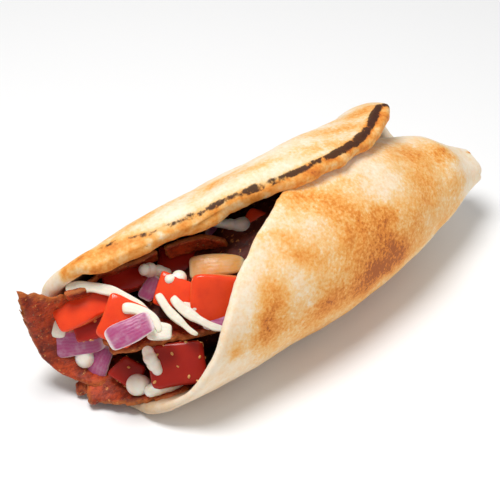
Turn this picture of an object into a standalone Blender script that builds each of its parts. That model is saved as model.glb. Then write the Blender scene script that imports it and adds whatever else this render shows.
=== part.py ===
"""Doner wrap: a round flatbread rolled to a tapering sleeve round sliced meat, tomato, red onion and sauce.

Metres, +Z up. The roll lies along X with its open mouth at -X and its pinched tail at +X; -Y is the side
of the near flap. The origin is under the middle of the roll, on the surface that it lies on.
"""

import math

import bmesh
import bpy
import numpy as np
from mathutils import Euler, Vector

MM = 0.001

# Flatbread
BREAD_THICKNESS = 4.6 * MM
BACK_RIM_THICKNESS = 6.6 * MM
NEAR_RIM_THICKNESS = 3.8 * MM
LAYER_GAP = 1.0 * MM
FLAP_LIFT = 10.0 * MM
LIP_CURL = 5.5 * MM
LIP_WIDTH = 9.0 * MM
BREAD_SECTORS = 60
BREAD_RINGS = 10

# Room left between neighbouring pieces
CLEARANCE = 0.32 * MM

# Sections of the rolled bread's middle surface: x, centre y, centre z, half width, half height, in mm
SECTIONS = (
    (-130, -3, 32, 34, 30.0),
    (-100, -3, 34, 36, 32.8),
    (-60, -2, 36.3, 38, 35.1),
    (0, 0, 36.2, 37, 35),
    (40, 2, 34, 31.5, 29.5),
    (70, 3, 31, 22.5, 20.5),
    (82, 3, 30.4, 18.9, 17.3),
    (94, 3, 27.6, 13.6, 11.6),
    (112, 2, 24.2, 6, 5),
)

# The bread's rim on the roll: x in mm, and degrees round from the bottom, near side first
RIM = (
    (-101, 5),
    (-99, 32),
    (-92, 60),
    (-84, 84),
    (-67, 124),
    (-44, 149),
    (-18, 168),
    (14, 184),
    (46, 206),
    (70, 238),
    (86, 258),
    (101, 266),
    (107, 150),
    (108, 60),
    (107, -30),
    (99, -76),
    (88, -96),
    (79, -118),
    (73, -140),
    (66, -162),
    (42, -185),
    (14, -195),
    (-14, -193),
    (-34, -187),
    (-53, -178),
    (-73, -166),
    (-93, -152),
    (-107, -138),
    (-113, -115),
    (-113, -70),
    (-106, -25),
)

# Heap of sliced meat inside the roll: x, centre y, centre z, half width, half height, in mm
HEAP = (
    (-86, 9, 20, 8, 6),
    (-76, 8, 22, 15, 12),
    (-60, 5, 25, 24, 17),
    (-40, 4, 29, 28, 22.5),
    (-20, 2, 33, 31, 27),
    (4, 1, 35.8, 33.2, 30),
    (40, 2, 34, 27.8, 25.8),
    (66, 3, 31.3, 19.6, 17.6),
    (84, 3, 29.4, 13, 11.2),
)

# Tomato: name, centre in mm, turn in degrees, length, width and thickness in mm, bend and cup in degrees, taper
TOMATO = (
    ("tomato_wedge_left", (-102.3, 18.3, 38), (40, -20, -28), (25, 12, 9), 14, 12, 0.15),
    ("tomato_round_front", (-96.7, 0.8, 39), (35, -42, 12), (18, 16, 9), 24, 15, -0.1),
    ("tomato_block_right", (-58.7, -16.2, 42), (60, 4, -37), (23, 19, 11), 12, 10, 0.05),
    ("tomato_low_front", (-81.4, -16.8, 19), (52, -5, -36), (23, 18, 11), 10, 5, 0.05),
    ("tomato_centre", (-71.4, -2.9, 43), (44, 11, -57), (15, 13, 9), 10, 10, 0.1),
    ("tomato_back_right", (-23.8, -0.5, 51), (24, -48, 19), (17, 15, 9), 10, 10, 0.1),
    ("tomato_back_dark", (-54.2, 12.9, 41), (30, -2, -37), (22, 12, 9), 5, 10, 0.1),
    ("tomato_far_dark", (-79.8, 19.9, 41), (29, -8, -25), (20, 12, 9), 5, 10, 0.1),
    ("tomato_flesh_left", (-101.4, 14.7, 29), (44, -10, -30), (16, 9, 7), 5, 10, 0.1),
    ("tomato_seed_low", (-96.1, -2, 13), (31, -42, 8), (11, 12, 7), 5, 10, 0.2),
)

# Onion and other firm slices, laid out as the tomato is
ONION = (
    ("onion_left", (-110.5, 19, 23), (72, -10, -45), (30, 11.5, 3.8), 54, 6, 0.1),
    ("onion_centre", (-100.6, -10.6, 43), (38, -19, -21), (20, 10, 3.4), 26, 12, 0.05),
    ("onion_low", (-102.9, 9.7, 14), (27, -56, 7), (17, 9, 3.2), 44, 8, 0.1),
    ("onion_back", (-33.4, 7.3, 48), (33, 12, -57), (22, 7, 2.6), 26, 10, 0.3),
    ("onion_back_right", (-34, -2, 43), (33, -27, 5), (14, 11, 2.8), 22, 10, 0.1),
    ("onion_under_block", (-63.1, -23.4, 36), (40, 3, -43), (15, 7, 2.8), 20, 8, 0.1),
    ("onion_small_dark", (-75.8, 8.5, 41), (28, -41, 11), (11, 6, 2.6), 30, 8, 0.2),
    ("onion_white_left", (-112.4, 26.1, 32), (0, -54, 40), (14, 10, 4), 26, 8, 0.1),
    ("onion_white_cube", (-88.4, -14.5, 39), (42, 4, -44), (10, 7.5, 4), 8, 6, 0.1),
    ("pepper_slice", (-50.1, -4.4, 47.5), (36, -4, -34), (23, 9.5, 5.6), 44, 34, 0.22),
)

# Cabbage and onion ribbons, laid out as the tomato is, but bent within their own width
RIBBONS = (
    ("onion_white_arc", (-90.1, -7.6, 44.5), (33, 20, -67), (20, 4.4, 2.6), 78, 0, 0.2),
    ("cabbage_ribbon_left", (-93.6, 9.2, 47.5), (36, 12, -55), (40, 4, 2), 60, 0, 0.35),
    ("cabbage_ribbon_mid", (-78.9, -12.3, 40), (31, 27, -78), (24, 3.4, 2), -30, 0, 0.3),
    ("cabbage_ribbon_right", (-73.1, -18.9, 40.5), (33, 19, -66), (27, 3.8, 2), -38, 0, 0.3),
)

# Loose crumbs of meat, laid out as the tomato is
CRUMBS = (
    ("meat_crumb_low", (-109.7, 9.7, 5), (38, -12, -25), (10, 6.5, 4), 10, 10, 0.1),
)

# Meat slices: name, thickness in mm, and rows of points on the middle surface in mm
MEAT = (
    (
        "meat_slice_trough",
        2.6,
        (
            ((-129.1, 25.8, 55), (-110, 21.4, 46.4), (-90, 23.7, 47.7)),
            ((-129.1, 24.5, 47.5), (-110, 25.3, 37.6), (-90, 27.5, 38.2)),
            ((-125.2, 28.5, 34), (-110, 24.9, 27.3), (-90, 26.8, 28.1)),
            ((-122.8, 26.8, 23), (-110, 20.4, 18.1), (-90, 22.2, 18.7)),
            ((-120.5, 23, 15.5), (-109, 12.7, 10.8), (-90, 13.8, 11.3)),
            ((-115.4, 17.8, 10), (-106, 1.8, 7.1), (-90, 2.7, 7.4)),
        ),
    ),
    (
        "meat_slice_floor",
        2.8,
        (
            ((-113.6, 4.5, 2.4), (-106.1, -8.7, 5.5), (-95.3, -18.5, 8.2), (-82.7, -26, 10.5)),
            ((-114, 2, 4.6), (-100, -4, 6.8), (-86, -9, 6.8), (-70, -14, 8)),
            ((-110, 9, 7.2), (-98, 4, 9.6), (-84, 0, 8.6), (-68, -4, 7.2)),
        ),
    ),
    (
        "meat_slice_middle",
        3.2,
        (
            ((-103.3, -0.9, 26), (-92.9, -7.7, 28), (-82.7, -13.5, 30.5), (-70.9, -19.9, 31), (-58, -26.3, 33)),
            ((-100, 9, 24.5), (-88, 4, 27.5), (-76, -2, 29), (-62, -10, 29), (-48, -17, 31)),
            ((-96, 16, 23), (-85, 12, 26.5), (-72, 7, 27), (-58, 0, 28), (-44, -7, 30)),
        ),
    ),
    (
        "meat_strip_back",
        2.4,
        (
            ((-92.5, 23.2, 47), (-84.4, 20.1, 49), (-76.2, 17, 51), (-67.3, 14.1, 52.5)),
            ((-93, 25.8, 43), (-83.1, 23.7, 43), (-74.2, 20.1, 45), (-64.9, 16.9, 46)),
        ),
    ),
    (
        "meat_strip_left",
        2.6,
        (
            ((-111.1, 19.7, 49), (-104.5, 17.7, 49.5), (-98, 15.6, 49), (-93.2, 12.4, 48)),
            ((-107.4, 22.9, 42), (-102.1, 20.3, 43), (-95.9, 17.6, 42.5), (-91, 14.4, 42)),
        ),
    ),
    (
        "meat_crust_back",
        3,
        (
            ((-65, 12.3, 54), (-55.9, 10.2, 55), (-47.7, 7, 55.5), (-40.3, 1.5, 53)),
            ((-61.8, 12.6, 47), (-52.2, 11.1, 48), (-45.3, 6.2, 48.5), (-37.4, 1.1, 45.5)),
        ),
    ),
)

# Sauce: name, centre in mm, and the offset and radius of each lobe in mm
SAUCE = (
    ("sauce_ball_left", (-106.5, 14.6, 15.5), ((0, 0, 0, 4.3),)),
    ("sauce_ball_low", (-97.5, -9.3, 11.5), ((0, 0, 0, 4.6), (2.6, -0.5, -1, 3.6))),
    (
        "sauce_pool_low",
        (-89.9, -17.2, 12),
        ((0, 0, 0, 3.2), (-2.6, 0.8, -0.3, 3.1), (-5.2, 1.6, -0.8, 2.8), (2.8, -1, -0.2, 3), (5.6, -2, -0.1, 2.6), (8.6, -3.1, 0.2, 1.9)),
    ),
    (
        "sauce_on_block",
        (-92.5, -12.5, 25.5),
        ((0, 0, 0, 3), (0.6, -1.6, -2.8, 2.9), (1.6, -2.8, -5.4, 2.4), (0.4, 2, 2, 2.4)),
    ),
    (
        "sauce_drop_back",
        (-30.9, 4.9, 54.5),
        ((2, -1.4, -0.2, 3.6), (0, 0, 0, 2.9), (-2.6, 2.2, 0.4, 2.5), (-5.6, 4.6, 0.8, 2.3), (-8.6, 7, 1, 2.1), (-12, 9.5, 1.2, 1.7)),
    ),
    (
        "sauce_centre",
        (-72.9, 12, 47),
        ((0, 0, 0, 3.2), (-3.2, -0.5, 2, 2.6), (3.6, -1.2, -1.6, 2.8), (6.6, -3, -2.6, 2.2)),
    ),
    ("sauce_drop_centre", (-67.7, -1.1, 48), ((0, 0, 0, 3.3), (-4.4, 0.8, 0.8, 2.5))),
    ("sauce_under_block", (-68.6, -13.3, 40), ((0, 0, 0, 3.4), (4, -3.4, -1.2, 3), (-3.6, 2.8, 1, 2.4))),
)


def smoothstep(value):
    t = np.clip(value, 0.0, 1.0)
    return t * t * (3 - 2 * t)


def hermite(knots, values, at):
    """A smooth curve through values at increasing knots, read at the positions given."""
    slopes = np.gradient(values, knots)
    at = np.clip(at, knots[0], knots[-1])
    i = np.clip(np.searchsorted(knots, at, side="right") - 1, 0, len(knots) - 2)
    step = knots[i + 1] - knots[i]
    t = (at - knots[i]) / step
    start, end = values[i], values[i + 1]
    rise, fall = slopes[i] * step, slopes[i + 1] * step
    return (
        (2 * t**3 - 3 * t**2 + 1) * start
        + (t**3 - 2 * t**2 + t) * rise
        + (3 * t**2 - 2 * t**3) * end
        + (t**3 - t**2) * fall
    )


def sections_at(table, x):
    """Centre y, centre z, half width and half height at x."""
    rows = np.array(table, float) * MM
    return [hermite(rows[:, 0], rows[:, column], x) for column in range(1, 5)]


def rim_angle(x, rows):
    """How far round the bread reaches at x, in degrees, along the rim points given."""
    points = np.array(sorted(rows), float)
    return hermite(points[:, 0] * MM, points[:, 1], x)


def near_rim_angle(x):
    return rim_angle(x, [row for row in RIM if row[1] > 0 and row[0] < 103])


def back_rim_angle(x):
    return rim_angle(x, [row for row in RIM if row[1] < -100 and row[0] > -104])


def rolled(x, angle):
    """The bread's middle surface at x and an angle in degrees round from the bottom."""
    centre_y, centre_z, half_width, half_height = sections_at(SECTIONS, x)
    turn = np.radians(angle)
    side, up = np.sin(turn), -np.cos(turn)
    out_y, out_z = -side / half_width, up / half_height
    length = np.hypot(out_y, out_z)
    over = smoothstep((near_rim_angle(x) - 312 - angle) / 36)
    lift = FLAP_LIFT * np.exp(-(((x / MM - 66) / 19) ** 2))
    to_rim = np.radians(angle - back_rim_angle(x)) * half_width
    curl = smoothstep(1 - to_rim / LIP_WIDTH) * smoothstep((5 - x / MM) / 40)
    pillow = 0.5 * MM * np.sin(x / (17 * MM) + 1.0) * np.sin(2 * turn + x / (30 * MM))
    raised = over * (BREAD_THICKNESS + LAYER_GAP + lift) + pillow
    raised = raised - LIP_CURL * curl * (angle < -120)
    y = centre_y - half_width * side + raised * out_y / length
    z = centre_z + half_height * up + raised * out_z / length
    return np.stack([x, y, z], axis=-1)


def outward(x, angle):
    """The unit normal of the bread's middle surface, away from the filling."""
    dx, da = 0.2 * MM, 0.3
    along = rolled(x + dx, angle) - rolled(x - dx, angle)
    around = rolled(x, angle + da) - rolled(x, angle - da)
    normal = np.cross(along, around)
    return normal / np.linalg.norm(normal, axis=-1, keepdims=True)


def rim_curve(count):
    """Points evenly spaced along the rim, as x in metres and an angle in degrees."""
    closed = np.array(RIM + RIM[:1], float)
    steps = np.linalg.norm(np.diff(closed, axis=0) * [1.0, 0.5], axis=1)
    knots = np.concatenate([[0], np.cumsum(steps)])
    wrapped = np.concatenate([closed[-3:-1], closed, closed[1:3]])
    around = np.concatenate([knots[-3:-1] - knots[-1], knots, knots[1:3] + knots[-1]])
    at = np.linspace(0, knots[-1], count, endpoint=False)
    points = [hermite(around, wrapped[:, column], at) for column in (0, 1)]
    return np.stack(points, axis=-1) * [MM, 1.0]


def bread_layers(sectors, rings, extra):
    """Rings from the middle to the rim, on the outer and the inner face; extra thickens the bread."""
    rim = rim_curve(sectors)
    back = smoothstep((-rim[:, 1] - 60) / 60)
    near = smoothstep((rim[:, 1] - 20) / 40)
    rim_thickness = BREAD_THICKNESS + back * (BACK_RIM_THICKNESS - BREAD_THICKNESS)
    rim_thickness = rim_thickness + near * (NEAR_RIM_THICKNESS - BREAD_THICKNESS)
    spread = [(share, 1.0) for share in np.linspace(0, 1, rings + 1)[:-1] ** 0.85 * 0.975]
    rounded = [(0.985, 0.88), (0.996, 0.55), (1.0 + extra / (110 * MM), 0.0)]
    outer, inner = [], []
    for share, fullness in spread + rounded:
        x, angle = share * rim[:, 0], share * rim[:, 1]
        blend = smoothstep((share - 0.7) / 0.25)
        thickness = (BREAD_THICKNESS + blend * (rim_thickness - BREAD_THICKNESS) + extra) * fullness
        half = outward(x, angle) * thickness[:, None] / 2
        middle = rolled(x, angle)
        outer.append(middle + half)
        inner.append(middle - half)
    return outer, inner


def bread_mesh(sectors=BREAD_SECTORS, rings=BREAD_RINGS, extra=0.0):
    """The rolled bread as one closed skin, with its lowest part flat on the ground."""
    outer, inner = bread_layers(sectors, rings, extra)
    verts = [Vector(point) for point in outer[-1]]
    faces = []
    for layers, order in ((outer, 1), (inner, -1)):
        pole = len(verts)
        verts.append(Vector(layers[0][0]))
        starts = []
        for ring in layers[1:-1]:
            starts.append(len(verts))
            verts.extend(Vector(point) for point in ring)
        starts.append(0)
        for i in range(sectors):
            j = (i + 1) % sectors
            faces.append((pole, starts[0] + i, starts[0] + j)[::order])
            for low, high in zip(starts, starts[1:]):
                faces.append((low + i, high + i, high + j, low + j)[::order])
    for vert in verts:
        vert.z = max(vert.z, -extra)
    return closed_mesh(verts, faces)


def closed_mesh(verts, faces):
    """A mesh of triangles with its faces turned outward."""
    mesh = bpy.data.meshes.new("piece")
    mesh.from_pydata([tuple(vert) for vert in verts], [], faces)
    bm = bmesh.new()
    bm.from_mesh(mesh)
    bmesh.ops.recalc_face_normals(bm, faces=bm.faces)
    bmesh.ops.triangulate(bm, faces=bm.faces, quad_method="FIXED")
    bm.to_mesh(mesh)
    bm.free()
    return mesh


def lattice(cells):
    """The surface of a box from -1 to 1, cut into cells along each axis."""
    index, verts, faces = {}, [], []

    def corner(key):
        if key not in index:
            index[key] = len(verts)
            verts.append([2 * key[axis] / cells[axis] - 1 for axis in range(3)])
        return index[key]

    for axis in range(3):
        first, second = (axis + 1) % 3, (axis + 2) % 3
        for side in (0, cells[axis]):
            for i in range(cells[first]):
                for j in range(cells[second]):
                    quad = []
                    for di, dj in ((0, 0), (1, 0), (1, 1), (0, 1)):
                        key = [0, 0, 0]
                        key[axis], key[first], key[second] = side, i + di, j + dj
                        quad.append(corner(tuple(key)))
                    faces.append(quad)
    return np.array(verts, float), faces


def bend(points, along, across, degrees, length):
    """Bends points round an axis, with the across side outward."""
    if degrees:
        radius = length / math.radians(degrees)
        turn = points[:, along] / radius
        reach = radius + points[:, across]
        points[:, along] = reach * np.sin(turn)
        points[:, across] = reach * np.cos(turn) - radius


def ripple(points, size, seed):
    """A smooth uneven offset of about one, different for every seed."""
    phase = seed * np.array([1.7, 2.9, 4.1])
    waves = [np.sin(points @ np.roll([5.1, 3.3, 4.2], k) / size + phase[k]) for k in range(3)]
    return np.stack(waves, axis=-1)


def chunk_mesh(row, cells, sharpness, wobble, sideways=False):
    """A rounded, bent and tapered piece, placed and turned."""
    name, centre, turn, size, arc, cup, taper = row
    unit, faces = lattice(cells)
    unit = unit / (np.abs(unit) ** sharpness).sum(axis=1, keepdims=True) ** (1 / sharpness)
    points = unit * np.array(size) / 2
    points[:, 1:] *= 1 - taper * unit[:, :1]
    seed = sum(map(ord, name))
    points += wobble * ripple(points, size[1], seed) * [1.0, 1.0, 0.6]
    bend(points, 0, 1 if sideways else 2, arc, size[0])
    bend(points, 1, 2, 0 if sideways else cup, size[1])
    turned = Euler([math.radians(value) for value in turn]).to_matrix()
    placed = [(turned @ Vector(point) + Vector(centre)) * MM for point in points]
    return closed_mesh(placed, faces)


def slice_mesh(name, thickness, rows, cells=(9, 5)):
    """A thin slice through rows of points, with ragged edges."""
    grid = np.array(rows, float)
    across = np.linspace(0, 1, cells[0] + 1)
    down = np.linspace(0, 1, cells[1] + 1)
    lines = []
    for row in grid:
        knots = np.linspace(0, 1, len(row))
        lines.append(np.stack([hermite(knots, row[:, k], across) for k in range(3)], axis=-1))
    lines = np.array(lines)
    knots = np.linspace(0, 1, len(lines))
    middle = np.zeros((len(down), len(across), 3))
    for i in range(len(across)):
        for k in range(3):
            middle[:, i, k] = hermite(knots, lines[:, i, k], down)
    seed = sum(map(ord, name))
    wave = ripple(middle.reshape(-1, 3), 9.0, seed).reshape(middle.shape)
    normal = np.cross(np.gradient(middle, axis=0), np.gradient(middle, axis=1))
    normal /= np.linalg.norm(normal, axis=-1, keepdims=True)
    middle = middle + normal * wave[..., :1] * 0.5
    edge_x = np.minimum(np.arange(len(across)), np.arange(len(across))[::-1]) == 0
    edge_y = np.minimum(np.arange(len(down)), np.arange(len(down))[::-1]) == 0
    edge = edge_y[:, None] | edge_x[None, :]
    half = normal * (thickness / 2) * np.where(edge, 0.72, 1 + 0.12 * wave[..., 1])[..., None]
    verts = np.concatenate([(middle + half).reshape(-1, 3), (middle - half).reshape(-1, 3)]) * MM
    width, count = len(across), len(across) * len(down)
    faces = []
    for j in range(len(down) - 1):
        for i in range(width - 1):
            a = j * width + i
            quad = (a, a + 1, a + width + 1, a + width)
            faces.append(quad)
            faces.append(tuple(v + count for v in quad[::-1]))
    border = [(0, i) for i in range(width - 1)] + [(j, width - 1) for j in range(len(down) - 1)]
    border += [(len(down) - 1, i) for i in range(width - 1, 0, -1)]
    border += [(j, 0) for j in range(len(down) - 1, 0, -1)]
    loop = [j * width + i for j, i in border]
    for a, b in zip(loop, loop[1:] + loop[:1]):
        faces.append((a, b, b + count, a + count))
    return closed_mesh(verts, faces)


def blob_mesh(centre, lobes, rows=6, columns=10):
    """Rounded lobes run together into one drop round a shared middle."""
    verts, faces = [], []
    for j in range(rows + 1):
        tilt = math.pi * j / rows
        for i in range(1 if j in (0, rows) else columns):
            turn = 2 * math.pi * i / columns
            way = Vector((math.sin(tilt) * math.cos(turn), math.sin(tilt) * math.sin(turn), math.cos(tilt)))
            reach = 0.0
            for x, y, z, radius in lobes:
                offset = Vector((x, y, z))
                ahead = offset.dot(way)
                beside = (offset - way * ahead).length
                if beside < radius:
                    reach = max(reach, ahead + math.sqrt(radius**2 - beside**2))
            verts.append((Vector(centre) + way * max(reach, 0.8)) * MM)

    def at(j, i):
        if j in (0, rows):
            return 0 if j == 0 else len(verts) - 1
        return 1 + (j - 1) * columns + i % columns

    for j in range(rows):
        for i in range(columns):
            quad = [at(j, i), at(j + 1, i), at(j + 1, i + 1), at(j, i + 1)]
            faces.append(list(dict.fromkeys(quad)))
    return closed_mesh(verts, faces)


def heap_mesh(rows=14, columns=16):
    """The heap of sliced meat that fills the roll."""
    xs = np.linspace(HEAP[0][0], HEAP[-1][0], rows) * MM
    centre_y, centre_z, half_width, half_height = sections_at(HEAP, xs)
    turn = np.linspace(0, 2 * math.pi, columns, endpoint=False)
    verts, faces = [], []
    for i, x in enumerate(xs):
        lumps = 1 - 0.03 * (1 + np.sin(3 * turn + 1.9 * i)) * (1 + 0.6 * np.sin(5 * turn - 1.1 * i))
        for angle, lump in zip(turn, lumps):
            y = centre_y[i] - half_width[i] * math.sin(angle) * lump
            z = centre_z[i] - half_height[i] * math.cos(angle) * lump
            verts.append((x, y, z))
    for i in range(rows - 1):
        for j in range(columns):
            k = (j + 1) % columns
            faces.append((i * columns + j, i * columns + k, (i + 1) * columns + k, (i + 1) * columns + j))
    faces.append(tuple(range(columns)))
    faces.append(tuple(range(len(verts) - columns, len(verts)))[::-1])
    return closed_mesh(verts, faces)


def grown(mesh, distance):
    """A copy of the mesh with its skin moved outward."""
    bm = bmesh.new()
    bm.from_mesh(mesh)
    bm.normal_update()
    moves = [vert.normal * distance * min(vert.calc_shell_factor(), 1.6) for vert in bm.verts]
    for vert, move in zip(bm.verts, moves):
        vert.co += move
    copy = bpy.data.meshes.new("room")
    bm.to_mesh(copy)
    bm.free()
    return copy


def bounds(mesh):
    points = np.array([vert.co for vert in mesh.vertices])
    return points.min(axis=0), points.max(axis=0)


def near_each_other(first, second):
    low_a, high_a = first
    low_b, high_b = second
    return bool(np.all(low_a < high_b) and np.all(low_b < high_a))


def largest_island(mesh):
    """Keeps the biggest connected part of the mesh, closed and in triangles."""
    bm = bmesh.new()
    bm.from_mesh(mesh)
    bmesh.ops.remove_doubles(bm, verts=bm.verts, dist=0.02 * MM)
    left = set(bm.faces)
    islands = []
    while left:
        stack = [left.pop()]
        island = set(stack)
        while stack:
            for edge in stack.pop().edges:
                for face in edge.link_faces:
                    if face in left:
                        left.remove(face)
                        island.add(face)
                        stack.append(face)
        islands.append(island)
    keep = max(islands, key=lambda island: sum(face.calc_area() for face in island))
    drop = [face for face in bm.faces if face not in keep]
    bmesh.ops.delete(bm, geom=drop, context="FACES")
    bmesh.ops.triangulate(bm, faces=bm.faces)
    bm.to_mesh(mesh)
    bm.free()


def trimmed(mesh, cutters):
    """The mesh with the room taken by its neighbours cut away."""
    obj = bpy.data.objects.new("piece", mesh)
    bpy.context.scene.collection.objects.link(obj)
    helpers = []
    for cutter in cutters:
        helper = bpy.data.objects.new("cutter", cutter)
        helper.hide_render = True
        helper.display_type = "WIRE"
        bpy.context.scene.collection.objects.link(helper)
        helpers.append(helper)
        modifier = obj.modifiers.new("trim", "BOOLEAN")
        modifier.operation = "DIFFERENCE"
        modifier.solver = "MANIFOLD"
        modifier.object = helper
    graph = bpy.context.evaluated_depsgraph_get()
    result = bpy.data.meshes.new_from_object(obj.evaluated_get(graph))
    for spare in helpers + [obj]:
        bpy.data.objects.remove(spare)
    result.materials.clear()
    largest_island(result)
    return result


def material(name, colour, roughness):
    made = bpy.data.materials.new(name)
    made.use_nodes = True
    shader = made.node_tree.nodes["Principled BSDF"]
    shader.inputs["Base Color"].default_value = (*colour, 1.0)
    shader.inputs["Roughness"].default_value = roughness
    return made


def place(name, mesh, finish):
    obj = bpy.data.objects.new(name, mesh)
    bpy.context.scene.collection.objects.link(obj)
    mesh.name = name
    mesh.materials.append(finish)
    for face in mesh.polygons:
        face.material_index = 0
    return obj


def filling():
    """Every piece of the filling but the heap, the ones that keep their whole shape first."""
    for name, centre, lobes in SAUCE:
        yield name, blob_mesh(centre, lobes), (0.87, 0.76, 0.6), 0.3
    for row in RIBBONS:
        yield row[0], chunk_mesh(row, (7, 2, 2), 5, 0.25, sideways=True), (0.82, 0.77, 0.62), 0.4
    for row in ONION:
        pale = "white" in row[0] or "pepper" in row[0]
        colour = (0.84, 0.74, 0.55) if pale else (0.42, 0.14, 0.32)
        yield row[0], chunk_mesh(row, (6, 3, 2), 5, 0.2), colour, 0.35
    for name, thickness, rows in MEAT:
        yield name, slice_mesh(name, thickness, rows), (0.22, 0.06, 0.03), 0.5
    for row in CRUMBS:
        yield row[0], chunk_mesh(row, (4, 2, 2), 4, 0.5), (0.22, 0.06, 0.03), 0.5
    for row in TOMATO:
        yield row[0], chunk_mesh(row, (4, 3, 2), 7, 0.3), (0.66, 0.08, 0.03), 0.3


def main():
    for obj in list(bpy.data.objects):
        bpy.data.objects.remove(obj)
    bread = bread_mesh()
    place("flatbread", bread, material("flatbread", (0.8, 0.6, 0.36), 0.8))
    taken = [bread_mesh(extra=2 * CLEARANCE)]
    for name, mesh, colour, roughness in filling():
        room = grown(mesh, CLEARANCE)
        box = bounds(mesh)
        mesh = trimmed(mesh, [other for other in taken if near_each_other(box, bounds(other))])
        taken.append(room)
        place(name, mesh, material(name, colour, roughness))
    heap = trimmed(heap_mesh(), taken)
    place("sliced_meat_heap", heap, material("sliced_meat_heap", (0.12, 0.03, 0.015), 0.6))


main()
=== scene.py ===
# %% [markdown]
# # A doner wrap, dressed over its CAD frame
# The wrap is a round flatbread rolled to a tapering sleeve. Its open mouth shows sliced meat, tomato, red
# onion, cabbage and sauce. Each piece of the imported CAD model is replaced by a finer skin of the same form,
# with a finish that is worked out from noise and from values painted on it.

import math

import bmesh
import bpy
import numpy as np
from mathutils import Euler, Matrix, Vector, noise


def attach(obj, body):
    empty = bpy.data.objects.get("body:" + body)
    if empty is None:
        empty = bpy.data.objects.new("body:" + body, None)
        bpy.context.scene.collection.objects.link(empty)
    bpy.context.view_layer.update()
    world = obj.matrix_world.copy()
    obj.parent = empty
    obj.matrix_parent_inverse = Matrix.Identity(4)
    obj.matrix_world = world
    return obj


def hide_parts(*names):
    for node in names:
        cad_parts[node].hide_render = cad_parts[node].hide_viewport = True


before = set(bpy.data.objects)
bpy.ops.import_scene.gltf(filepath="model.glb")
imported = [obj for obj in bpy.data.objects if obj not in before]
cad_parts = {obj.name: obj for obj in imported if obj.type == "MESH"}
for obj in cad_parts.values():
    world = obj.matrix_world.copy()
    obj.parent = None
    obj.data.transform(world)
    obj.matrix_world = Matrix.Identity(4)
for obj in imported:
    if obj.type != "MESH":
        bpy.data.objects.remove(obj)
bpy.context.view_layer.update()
MM = 0.001
print("CAD nodes:", len(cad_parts))

# %% [markdown]
# ## Curves through a few values
# The sleeve swells and tapers along its length, and so do its rims. A short table of chosen sections and
# a smooth curve through them hold that form better than a sculpted mesh, because every later piece can ask
# the same curve where the bread is.


# %% Smooth steps and smooth curves
def smoothstep(value):
    t = np.clip(value, 0.0, 1.0)
    return t * t * (3 - 2 * t)


def hermite(knots, values, at):
    """A smooth curve through values at increasing knots, read at the positions given."""
    slopes = np.gradient(values, knots)
    at = np.clip(at, knots[0], knots[-1])
    i = np.clip(np.searchsorted(knots, at, side="right") - 1, 0, len(knots) - 2)
    step = knots[i + 1] - knots[i]
    t = (at - knots[i]) / step
    start, end = values[i], values[i + 1]
    rise, fall = slopes[i] * step, slopes[i + 1] * step
    return (
        (2 * t**3 - 3 * t**2 + 1) * start
        + (t**3 - 2 * t**2 + t) * rise
        + (3 * t**2 - 2 * t**3) * end
        + (t**3 - t**2) * fall
    )


print("halfway up a smooth step:", float(smoothstep(0.5)))

# %% [markdown]
# ## The rolled flatbread
# A real wrap starts as a flat disc of bread. Its middle lies underneath, one side is folded up and over the
# filling, and the other side comes over it from behind. The disc is kept here too: every point of the bread
# has a place along the roll and an angle round it, and the rim is one closed curve in those two numbers.

# %% The roll's sections and the bread's rim
BREAD_THICKNESS = 4.6 * MM
BACK_RIM_THICKNESS = 6.6 * MM
NEAR_RIM_THICKNESS = 3.8 * MM
LAYER_GAP = 1.0 * MM
FLAP_LIFT = 10.0 * MM
LIP_CURL = 5.5 * MM
LIP_WIDTH = 9.0 * MM
LIP_CURL_ENDS = 5
FLAP_LIFT_AT = 66
FLAP_LIFT_SPREAD = 19
OVERLAP_ANGLE = 312
OVERLAP_BLEND = 36

# x, centre y, centre z, half width and half height of the bread's middle surface, in mm
SECTIONS = (
    (-130, -3, 32, 34, 30.0),
    (-100, -3, 34, 36, 32.8),
    (-60, -2, 36.3, 38, 35.1),
    (0, 0, 36.2, 37, 35),
    (40, 2, 34, 31.5, 29.5),
    (70, 3, 31, 22.5, 20.5),
    (82, 3, 30.4, 18.9, 17.3),
    (94, 3, 27.6, 13.6, 11.6),
    (112, 2, 24.2, 6, 5),
)

# x in mm, and degrees round from the bottom, near side first
RIM = (
    (-101, 5),
    (-99, 32),
    (-92, 60),
    (-84, 84),
    (-67, 124),
    (-44, 149),
    (-18, 168),
    (14, 184),
    (46, 206),
    (70, 238),
    (86, 258),
    (101, 266),
    (107, 150),
    (108, 60),
    (107, -30),
    (99, -76),
    (88, -96),
    (79, -118),
    (73, -140),
    (66, -162),
    (42, -185),
    (14, -195),
    (-14, -193),
    (-34, -187),
    (-53, -178),
    (-73, -166),
    (-93, -152),
    (-107, -138),
    (-113, -115),
    (-113, -70),
    (-106, -25),
)


def sections_at(table, x):
    """Centre y, centre z, half width and half height at x."""
    rows = np.array(table, float) * MM
    return [hermite(rows[:, 0], rows[:, column], x) for column in range(1, 5)]


def rim_angle(x, rows):
    """How far round the bread reaches at x, in degrees, along the rim points given."""
    points = np.array(sorted(rows), float)
    return hermite(points[:, 0] * MM, points[:, 1], x)


def near_rim_angle(x):
    return rim_angle(x, [row for row in RIM if row[1] > 0 and row[0] < 103])


def back_rim_angle(x):
    return rim_angle(x, [row for row in RIM if row[1] < -100 and row[0] > -104])


print("rim points:", len(RIM))


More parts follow.
